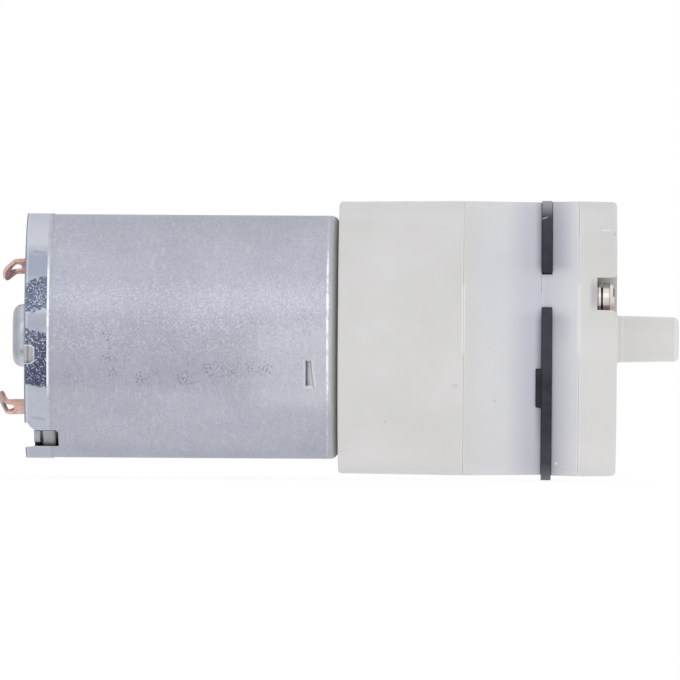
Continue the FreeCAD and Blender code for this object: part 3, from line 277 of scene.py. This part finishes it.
def rear_band(t, colour, band, near):
    """Shiny band: two patches of zinc crystals and two stripes darkened by painted reflection, a top
    lightened by painted light, a dark rear edge of painted shade, and painted highlights at both edges.
    """
    colour = t.over(colour, (190, 194, 208), 0.5, band)
    shown = t.times(band, near)
    # Painted reflection darkens a stripe near the top, painted light lightens the top, and painted
    # reflection darkens a stripe across the middle.
    colour = t.over(colour, (146, 158, 177), 0.6, t.bell(t.z, 6.9, 0.8, 0.9), shown)
    colour = t.over(colour, (214, 217, 227), 0.55, t.rise(t.z, 8.5, 9.2), shown)
    colour = t.over(colour, (150, 153, 170), 0.5, t.bell(t.z, 1.45, 0.5, 0.5), band)

    # Two patches of zinc crystals, darkened by painted reflection.
    level = t.plus(t.z, t.times(t.minus(t.noise(1500, 3), 0.5), 1.6))
    inward = t.minus(t.x, CAN_REAR + 1.2)
    upper = t.bell(t.minus(level, t.times(inward, 0.3)), 4.0, 1.4, 0.25)
    lower = t.bell(t.plus(level, t.times(inward, 0.25)), -2.25, 2.75, 0.25)
    inset = t.times(t.rise(t.x, CAN_REAR + 0.02, CAN_REAR + 0.16), band)
    patch = t.times(t.most(upper, lower), inset)
    colour = t.over(colour, spangle_and_reflection(t), 0.92, patch)

    bow = t.times(t.minus(t.x, CAN_REAR + 0.7), 0.13)
    for middle in (8.35, -8.1):
        along = t.bell(t.x, CAN_REAR + 1.35, 0.4, 0.5)
        across = t.bell(t.plus(t.z, bow), middle, 0.05, 0.14)
        colour = t.over(colour, (150, 153, 166), 0.5, along, near, across)

    # Painted highlight along the front edge, brightest near the middle height and broken up by noise.
    edge = t.bell(t.x, BAND_FRONT + 0.08, 0.06, 0.08)
    bright = t.plus(t.bell(t.z, 1.0, 5.3, 2.2), 0.12)
    highlight_breakup = t.rise(t.noise(900, 3), 0.3, 0.6, 0.55, 1.0)
    colour = t.over(colour, (246, 247, 252), 1.0, edge, t.math("MULTIPLY", bright, highlight_breakup, clamp=True))
    # Painted highlight beside the rear rim, and painted shade on the rim itself.
    line = t.times(t.bell(t.x, CAN_REAR + 0.26, 0.05, 0.06), t.minus(1.0, patch))
    colour = t.over(colour, (212, 214, 226), 0.5, line)
    return t.over(colour, (126, 128, 137), 0.75, t.fall(t.x, CAN_REAR + 0.08, CAN_REAR + 0.16))


def spangle_and_reflection(t):
    """Zinc crystals darkened by painted reflection: a blue ground, darker toward the lower front and at
    the bottom, with light and dark flakes.
    """
    deep = t.rise(t.plus(t.times(t.z, -0.5), t.x), CAN_REAR + 0.2, CAN_REAR + 3.2)
    ground = t.mix(deep, (100, 111, 134), (56, 67, 98))
    flake = t.noise(5400, 2, 0.6, distortion=0.5)
    paint = t.mix(t.rise(flake, 0.535, 0.63), ground, (206, 211, 224))
    dark_flake = t.rise(t.noise(5600, 2, 0.6, t.stretch(1, 1, 1, 0.7)), 0.50, 0.60)
    paint = t.over(paint, (36, 46, 70), 0.8, dark_flake)
    bottom = t.fall(t.z, -3.4, -2.2)
    return t.over(paint, (44, 54, 86), 0.4, bottom, t.rise(flake, 0.53, 0.6, 1.0, 0.3))


def front_ridge(t, colour, corner):
    """Rounded corner at the can's front, darker toward the front as painted shade, and behind it a
    painted highlight along a ridge, broken up by noise.
    """
    # Painted shade on the rounded corner, darker toward the front.
    turned = t.mix(t.rise(t.x, SEAT - 0.6, SEAT - 0.1), (190, 192, 188), (146, 148, 140))
    colour = t.mix(corner, colour, turned)
    # Painted highlight along the ridge, broken up by noise.
    wave = t.times(t.noise(420, 3), 0.12)
    ridge = t.bell(t.plus(t.x, wave), SEAT - 0.98, 0.05, 0.10)
    shine = t.plus(t.bell(t.z, 1.2, 5.2, 3.0), 0.25)
    highlight_breakup = t.rise(t.noise(1300, 4), 0.38, 0.6, 0.35, 1.0)
    return t.over(colour, (252, 253, 255), 1.0, ridge, t.math("MULTIPLY", shine, highlight_breakup, clamp=True))


def lance_marks(t, colour, near):
    """Magnet stop pressed into the can: grey tongue lightened by painted light, painted shade on its
    cut edge and fold, and painted highlights on its lips and below it.
    """
    shown = t.times(t.bell(t.z, LANCE_Z, LANCE_HALF, 0.06), near)
    slanted = t.minus(t.x, t.times(t.minus(LANCE_Z, t.z), 0.12))
    for place, middle, half, soft, paint, strength in (
        (t.x, 0.36, 0.34, 0.04, (226, 227, 227), 0.9),  # tongue, lightened by painted light
        (t.x, 0.11, 0.07, 0.06, (158, 159, 165), 0.9),  # cut edge, painted shade
        (slanted, 0.62, 0.04, 0.06, (140, 140, 146), 0.6),  # fold, painted shade
        (slanted, 0.82, 0.08, 0.08, (222, 223, 229), 0.6),  # front lip, painted highlight
        (t.x, -0.10, 0.06, 0.10, (212, 214, 224), 0.5),  # rear lip, painted highlight
    ):
        stripe = t.bell(place, LANCE_REAR + middle, half, soft)
        colour = t.over(colour, paint, strength, shown, stripe)
    # Painted highlight along the foot of the stop, below it.
    below = t.bell(t.z, LANCE_Z - 1.36, 0.08, 0.10)
    foot = t.bell(t.x, LANCE_REAR + 0.3, 0.35, 0.15)
    return t.over(colour, (218, 221, 230), 0.55, below, near, foot)


def dent_marks(t, colour, near):
    """Warm floor of the crimp pressed into the can's rear edge, with a painted highlight on its lip and
    a painted shaded line.
    """
    middle, half, depth, corner = -1.87, 0.86, 0.92, 0.35
    up = t.minus(t.math("ABSOLUTE", t.minus(t.z, middle)), half - corner)
    along = t.minus(t.x, CAN_REAR + depth - corner)
    reach = t.length(t.most(up, 0.0), t.most(along, 0.0))
    inside = t.times(near, t.fall(reach, corner - 0.04, corner))
    colour = t.over(colour, (190, 189, 188), 0.85, inside)
    # Painted highlight on the lip, and painted shade in a line across the floor.
    colour = t.over(colour, (224, 226, 236), 0.7, near, t.bell(reach, corner + 0.02, 0.06, 0.06))
    return t.over(colour, (128, 128, 126), 0.7, inside, t.bell(t.x, CAN_REAR + 0.36, 0.05, 0.08))


def plate_steel():
    """Rolled steel. The rear boss's foot is paler, so that it doesn't sink into shade."""
    t = Tree("plate_steel_look")
    steel = (176, 180, 190)
    colour = t.clouds(t.noise(400, 4, 0.6), steel, scaled(steel, 0.86))
    foot = t.fall(t.length(t.y, t.z), 3.2, 3.5)
    behind = t.rise(t.x, PLATE_REAR + 0.3, PLATE_REAR + 1.2)
    colour = t.over(colour, (228, 231, 242), 0.6, foot, behind)
    t.set(Base_Color=colour, Metallic=0.95, Roughness=t.rough(t.noise(3000, 3), 0.24, 0.38))
    t.set(Normal=t.bump(t.noise(4000, 3), 0.08, 0.02))
    return t.material


def plastic(name, light, dark, marks=None):
    """Moulded plastic with soft clouds; marks paints what shows on it."""
    t = Tree(name)
    cloud = t.noise(110, 3, 0.5)
    fleck = t.noise(900, 4, 0.6)
    colour = t.clouds(cloud, light, dark, 0.32, 0.68)
    colour = t.mix(t.rise(fleck, 0.5, 0.75, 0, 0.12), colour, scaled(dark, 0.95))
    if marks:
        colour = marks(t, colour)
    t.set(Base_Color=colour, Roughness=t.rough(fleck, 0.38, 0.48))
    t.set(Subsurface_Weight=0.12, Subsurface_Scale=0.6 * MM, IOR=1.48)
    t.set(Normal=t.bump(t.noise(2600, 3), 0.05, 0.02, t.bump(cloud, 0.12, 0.12)))
    return t.material


def notches(t):
    """One at the places round the head where the black sheet is notched, and nothing elsewhere."""
    angle = t.math("ARCTAN2", t.z, t.times(t.y, -1.0))
    turn = t.times(t.minus(angle, NOTCH_ANGLE), NOTCH_COUNT)
    return t.rise(t.math("COSINE", turn), 0.78, 0.96)


def seams(t, colour):
    """Hides the joints of the plastic pieces, as pale lines where the light catches them."""
    for place, always in ((BASE_FRONT, 0.35), (COVER_REAR, 0.5)):
        lit = t.most(t.bell(t.z, 1.9, 3.0, 1.0), always)
        colour = t.over(colour, (244, 242, 240), 0.72, t.bell(t.x, place, 0.10, 0.08), lit)
    return colour


def spots(t, colour, *places):
    """Small soft patches of the outer surface, on the camera's side.

    A place has x, z, half length, half height, softness, paint and strength.
    """
    near = t.camera_side(OUTER_SIDE)
    for x, z, half_x, half_z, soft, paint, strength in places:
        along = t.bell(t.x, x, half_x, half_x * soft)
        upward = t.bell(t.z, z, half_z, half_z * soft)
        colour = t.over(colour, paint, strength, along, near, upward)
    return colour


def cool_marks(t, colour):
    """Holder and valve plate: grey-blue shade near the black sheet, warmer near the pump base."""
    colour = t.over(colour, (215, 214, 211), 0.85, t.fall(t.x, BASE_FRONT, BASE_FRONT + 2.4))
    gaps = notches(t)
    covered = t.minus(1.0, gaps)
    behind = t.rise(t.x, JOINT - 4.6, JOINT - 1.4)
    ahead = t.fall(t.x, JOINT, JOINT + 3.0)
    depth = t.times(t.math("MINIMUM", behind, ahead), t.rise(covered, 0.0, 1.0, 0.62, 0.9))
    colour = t.mix(depth, colour, (193, 194, 205))

    beside = t.times(t.rise(t.x, JOINT - 1.4, SHEET_REAR), t.math("LESS_THAN", t.x, JOINT))
    beside = t.times(beside, t.rise(t.z, -11.5, -7.0, 0.15, 1.0), covered)
    colour = t.over(colour, (136, 137, 148), 0.8, beside)
    past = t.times(t.fall(t.x, JOINT + 0.4, JOINT + 3.1), covered)
    past = t.times(past, t.math("GREATER_THAN", t.x, JOINT), t.rise(t.z, -2.0, 4.0, 0.35, 1.0))
    colour = t.over(colour, (158, 159, 170), 0.78, past)

    colour = spots(
        t,
        colour,
        (36.25, -12.4, 0.08, 0.10, 1.0, (248, 248, 250), 0.9),
        (30.1, -6.2, 0.05, 0.12, 1.0, (176, 174, 178), 0.5),
    )
    # Painted highlights along the sheet's edges in its notches.
    for edge in (SHEET_REAR, SHEET_FRONT):
        colour = t.over(colour, (236, 236, 243), 0.25, t.bell(t.x, edge, 0.06, 0.06), gaps)
    return seams(t, colour)


def warm_marks(t, colour):
    """Base and cover: painted shade greying the top and bottom, a lower cover paler with painted light,
    a paler nozzle with rings of painted highlight, painted shade by the screw window, and scuffs.
    """
    # Painted shade greys the top and bottom; painted light makes the lower cover paler.
    outermost = t.rise(t.math("ABSOLUTE", t.z), 11.9, 13.4)
    colour = t.over(colour, (190, 191, 196), 0.3, outermost)
    on_cover = t.math("GREATER_THAN", t.x, COVER_REAR)
    colour = t.over(colour, (230, 229, 227), 0.32, t.fall(t.z, -1.0, 3.0), on_cover)
    nozzle = t.rise(t.x, COVER_FRONT - 5.9, COVER_FRONT - 5.7)
    colour = t.over(colour, (234, 232, 228), 0.4, nozzle)
    # Rings of painted highlight on the nozzle.
    for back in (5.6, 0.33):
        ring = t.bell(t.x, COVER_FRONT - back, 0.05, 0.10)
        colour = t.over(colour, (242, 240, 237), 0.5, ring, nozzle)
    colour = spots(
        t,
        colour,
        # The first spot is painted shade beside the screw window; the others are a scuff, a nick and
        # two small marks.
        (39.95, 4.4, 0.16, 0.5, 3.0, (184, 180, 186), 0.85),
        (41.1, 10.75, 0.30, 0.06, 1.0, (244, 240, 238), 0.6),
        (41.95, 10.4, 0.08, 0.10, 1.0, (196, 192, 188), 0.7),
        (26.2, -4.7, 0.15, 0.08, 2.0, (206, 190, 186), 0.45),
        (19.3, -8.3, 0.05, 0.05, 1.0, (170, 168, 168), 0.6),
    )
    return seams(t, colour)


def rubber():
    """Black rubber with corners darkened by painted shade, painted light greying it at the top, the
    bottom and the middle, and a thread of flash.
    """
    t = Tree("black_rubber_look")
    colour = t.clouds(t.noise(500, 4, 0.6), (34, 36, 46), (50, 52, 62))
    off = t.math("ABSOLUTE", t.minus(t.x, (SHEET_REAR + SHEET_FRONT) / 2))
    # Painted shade at the corners, and painted light greying the top, the bottom and the middle.
    colour = t.over(colour, (22, 23, 30), 0.6, t.rise(off, 0.36, 0.47))
    colour = t.over(colour, (150, 148, 157), 0.9, t.rise(t.z, 11.8, 13.5))
    colour = t.over(colour, (120, 120, 130), 0.3, t.fall(t.z, -13.9, -12.2))
    colour = t.over(colour, (64, 65, 74), 0.5, t.bell(t.z, 0.2, 2.6, 2.0))
    slope = t.minus(t.z, t.times(t.minus(t.x, JOINT), 0.35))
    flash = t.times(t.bell(slope, 12.05, 0.03, 0.06), t.camera_side())
    flash = t.times(flash, t.fall(t.x, JOINT - 0.15, JOINT + 0.1))
    colour = t.over(colour, (172, 172, 184), 0.8, flash)
    t.set(Base_Color=colour, Roughness=0.55, Specular_IOR_Level=0.3)
    t.set(Normal=t.bump(t.noise(2200, 4), 0.15, 0.03))
    return t.material


def nickel():
    """Smooth nickel, with painted shade in the joints of screw, washer and seat and on the head's
    rounded edge, and painted reflection darkening both ends of the window.
    """
    t = Tree("nickel_look")
    colour = t.clouds(t.noise(300, 2), (224, 219, 215), (200, 192, 188), 0.35, 0.65)
    window = t.times(t.bell(t.z, 4.3, 3.0, 1.0), t.camera_side())
    # Painted reflection of the window's shaded walls at both ends of the window.
    colour = t.over(colour, (164, 158, 144), 0.8, t.rise(t.z, 5.1, 5.7), window)
    colour = t.over(colour, (168, 148, 142), 0.8, t.fall(t.z, 3.1, 3.7), window)
    # Painted shade on the head's rounded edge, in the gap under the head and at the washer's seat.
    for middle, half, soft, paint, strength in (
        (SCREW_TOP - 0.50, 0.03, 0.05, (158, 154, 152), 0.8),
        (SCREW_TOP - 1.24, 0.07, 0.06, (38, 30, 30), 0.95),
        (WASHER_REAR + 0.06, 0.06, 0.06, (140, 126, 126), 0.8),
    ):
        colour = t.over(colour, paint, strength, t.bell(t.x, middle, half, soft))
    # Painted shade for the recess in the head.
    recess = t.times(t.bell(t.z, 4.65, 0.40, 0.15), window, t.bell(t.x, SCREW_TOP - 0.06, 0.06, 0.05))
    colour = t.over(colour, (70, 62, 64), 0.85, recess)
    t.set(Base_Color=colour, Metallic=0.9, Roughness=0.24)
    t.set(Normal=t.bump(t.noise(1400, 2), 0.05, 0.02))
    return t.material


def grey_plastic():
    """Brush holder: grey, with its end in the can's slots darkened greenish by painted shade."""
    t = Tree("grey_plastic_look")
    colour = t.clouds(t.noise(900, 5, 0.6), (168, 169, 170), (154, 155, 157))
    end = HOLDER_REAR + 1.52
    # Painted shade darkens the end greenish.
    colour = t.over(colour, (112, 115, 108), 0.85, t.rise(t.x, end - 0.25, end - 0.12))
    t.set(Base_Color=colour, Roughness=0.4, Normal=t.bump(t.noise(3000, 4), 0.12, 0.02))
    return t.material


def copper_strip():
    """Pinkish tinned copper with browner blotches, and painted shade on the lower lug's tip."""
    t = Tree("copper_strip_look")
    colour = t.clouds(t.noise(700, 4, 0.6), (232, 196, 184), (212, 170, 156))
    colour = t.over(colour, (158, 108, 100), 0.5, t.rise(t.noise(1800, 3), 0.5, 0.7))
    # Painted shade on the lower lug's tip.
    tip = t.times(t.fall(t.x, LUG_TIP, LUG_TIP_END), t.math("LESS_THAN", t.z, 0.0))
    colour = t.over(colour, (120, 92, 88), 0.7, tip)
    t.set(Base_Color=colour, Metallic=0.65, Roughness=t.rough(t.noise(3000, 3), 0.22, 0.36))
    t.set(Normal=t.bump(t.noise(700, 3), 0.2, 0.04))
    return t.material


def metal(name, light, dark, rough, scale=700):
    """Bare metal with soft clouds, scale of them per metre."""
    t = Tree(name)
    t.set(Base_Color=t.clouds(t.noise(scale, 4, 0.6), light, dark), Metallic=1.0)
    t.set(Roughness=t.rough(t.noise(3000, 3), rough - 0.05, rough + 0.08))
    t.set(Normal=t.bump(t.noise(3500, 3), 0.06, 0.02))
    return t.material


def dull(name, light, dark, rough):
    """Matt stuff that isn't metal, such as carbon, ceramic or card."""
    t = Tree(name)
    t.set(Base_Color=t.clouds(t.noise(800, 5, 0.6), light, dark), Roughness=rough)
    t.set(Normal=t.bump(t.noise(3000, 4), 0.12, 0.02))
    return t.material


def layers(name, axis, scale, distortion, dark, light, metallic, rough, strength, depth):
    """Metal in fine layers or turns that lie side by side along the axis."""
    t = Tree(name)
    wave = t.node("ShaderNodeTexWave", wave_type="BANDS", bands_direction=axis)
    t.link(t.point, wave.inputs["Vector"])
    wave.inputs["Scale"].default_value = scale
    wave.inputs["Distortion"].default_value = distortion
    height = wave.outputs["Fac"]
    t.set(Base_Color=t.clouds(height, dark, light, 0.2, 0.8), Metallic=metallic, Roughness=rough)
    t.set(Normal=t.bump(height, strength, depth))
    return t.material


def laminations():
    dark, light = (88, 88, 92), (140, 140, 144)
    return layers("lamination_look", "X", 320, 0.0, dark, light, 0.9, 0.45, 0.4, 0.05)


def coil_wire():
    dark, light = (120, 58, 28), (205, 118, 66)
    return layers("coil_look", "Y", 900, 2.0, dark, light, 0.8, 0.35, 0.6, 0.08)


looks = {
    "warm_white_plastic": plastic("warm_white_look", (223, 221, 220), (216, 215, 212), warm_marks),
    "cool_white_plastic": plastic("cool_white_look", (219, 219, 222), (213, 214, 218), cool_marks),
    "zinc_steel": can_steel(),
    "plate_steel": plate_steel(),
    "grey_plastic": grey_plastic(),
    "tinned_copper": copper_strip(),
    "spring_bronze": metal("bronze_look", (190, 150, 98), (168, 128, 78), 0.3),
    "carbon": dull("carbon_look", (40, 40, 42), (26, 26, 28), 0.7),
    "ferrite": dull("ferrite_look", (66, 66, 70), (50, 50, 54), 0.6),
    "spring_steel": metal("wire_look", (150, 152, 158), (120, 122, 128), 0.3),
    "sintered_bronze": metal("bush_look", (150, 118, 74), (120, 92, 56), 0.5, 2600),
    "ground_steel": metal("ground_steel_look", (196, 198, 202), (176, 178, 184), 0.2),
    "nylon": plastic("nylon_look", (226, 224, 214), (216, 213, 202)),
    "lamination_steel": laminations(),
    "insulating_card": dull("card_look", (150, 62, 42), (132, 50, 34), 0.7),
    "enamelled_copper": coil_wire(),
    "phenolic": dull("phenolic_look", (92, 52, 30), (72, 40, 24), 0.5),
    "copper": metal("copper_look", (205, 130, 96), (176, 104, 74), 0.3),
    "varistor_ceramic": dull("varistor_look", (78, 78, 82), (60, 60, 64), 0.5),
    "zinc_screw": metal("zinc_screw_look", (196, 196, 192), (170, 170, 166), 0.3),
    "black_rubber": rubber(),
    "nickel_screw": nickel(),
}
slot_of = {item["node"]: item["material_slot"] for item in frame["record"]["subparts"]}
for name, item in nodes.items():
    item.data.materials.clear()
    item.data.materials.append(looks[slot_of[name]])


def empty_tree(owner):
    """The node tree of a world or a material, with no node in it."""
    owner.use_nodes = True
    owner.node_tree.nodes.clear()
    return owner.node_tree


def seen(tree):
    """One for rays that come from the camera, from a reflection or through glass."""
    path = tree.nodes.new("ShaderNodeLightPath")
    total = path.outputs["Is Camera Ray"]
    for name in ("Is Glossy Ray", "Is Transmission Ray"):
        add = tree.nodes.new("ShaderNodeMath")
        add.operation = "MAXIMUM"
        tree.links.new(total, add.inputs[0])
        tree.links.new(path.outputs[name], add.inputs[1])
        total = add.outputs[0]
    return total


def shader(tree, kind, colour, strength=None):
    """A new light or surface shader of one colour, here as shares of one."""
    made = tree.nodes.new(kind)
    made.inputs["Color"].default_value = (*colour, 1)
    if strength is not None:
        made.inputs["Strength"].default_value = strength
    return made.outputs[0]


def between(tree, share, first, second):
    """Goes from the first shader to the second as share goes from nothing to one."""
    mix = tree.nodes.new("ShaderNodeMixShader")
    for source, target in zip((share, first, second), mix.inputs):
        tree.links.new(source, target)
    return mix.outputs[0]


def studio():
    """White room: soft light from all round, a little brighter where it is seen."""
    world = bpy.data.worlds.new("room")
    bpy.context.scene.world = world
    tree = empty_tree(world)
    room = shader(tree, "ShaderNodeBackground", ROOM_COLOUR, ROOM_STRENGTH)
    white = shader(tree, "ShaderNodeBackground", (1, 1, 1))
    out = tree.nodes.new("ShaderNodeOutputWorld")
    tree.links.new(between(tree, seen(tree), room, white), out.inputs["Surface"])


def lamp():
    """Wide soft lamp above the camera, which models the round shapes a little."""
    data = bpy.data.lights.new("front_top", "AREA")
    data.shape = "RECTANGLE"
    data.size, data.size_y = LAMP_SIZE
    data.energy = LAMP_POWER
    light = bpy.data.objects.new("front_top", data)
    light.location = LAMP_PLACE
    way = Vector(LAMP_AIM) - Vector(LAMP_PLACE)
    light.rotation_euler = way.to_track_quat("-Z", "Y").to_euler()
    bpy.context.scene.collection.objects.link(light)


def floor():
    """Pale floor as bright as the room, which takes the pump's soft shadow and is clear from below."""
    mesh = bpy.data.meshes.new("floor")
    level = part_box("diaphragm")[0].z
    ways = ((-1, -1), (1, -1), (1, 1), (-1, 1))
    corners = [(x * FLOOR_HALF, y * FLOOR_HALF, level) for x, y in ways]
    mesh.from_pydata(corners, [], [(0, 1, 2, 3)])
    plane = bpy.data.objects.new("floor", mesh)
    bpy.context.scene.collection.objects.link(plane)
    material = bpy.data.materials.new("floor_look")
    tree = empty_tree(material)
    pale = shader(tree, "ShaderNodeBsdfDiffuse", FLOOR_COLOUR)
    glow = shader(tree, "ShaderNodeEmission", (1, 1, 1), FLOOR_GLOW)
    clear = tree.nodes.new("ShaderNodeBsdfTransparent").outputs[0]
    share = tree.nodes.new("ShaderNodeMapRange")
    tree.links.new(seen(tree), share.inputs["Value"])
    for name, value in zip(("To Min", "To Max"), FLOOR_GLOW_SHARE):
        share.inputs[name].default_value = value
    lit = between(tree, share.outputs[0], pale, glow)
    below = tree.nodes.new("ShaderNodeNewGeometry").outputs["Backfacing"]
    out = tree.nodes.new("ShaderNodeOutputMaterial")
    tree.links.new(between(tree, below, lit, clear), out.inputs["Surface"])
    mesh.materials.append(material)


def camera():
    """Far camera, level with the shaft, turned a little toward the nozzle's end and rolled a little."""
    data = bpy.data.cameras.new("camera")
    data.sensor_width = SENSOR_WIDTH
    data.lens = SENSOR_WIDTH * CAMERA_DISTANCE / (PICTURE_WIDTH / PIXELS_PER_MM * MM)
    data.clip_start, data.clip_end = 0.1, 20
    item = bpy.data.objects.new("camera", data)
    back = Vector((math.sin(CAMERA_YAW), -math.cos(CAMERA_YAW), 0))
    item.location = CAMERA_AIM + CAMERA_DISTANCE * back
    look = (CAMERA_AIM - item.location).to_track_quat("-Z", "Y").to_matrix().to_4x4()
    rolled = look @ Matrix.Rotation(CAMERA_ROLL, 4, "Z")
    item.matrix_world = Matrix.Translation(item.location) @ rolled
    bpy.context.scene.collection.objects.link(item)
    bpy.context.scene.camera = item


studio()
lamp()
floor()
camera()
bpy.context.scene.view_settings.view_transform = "Standard"
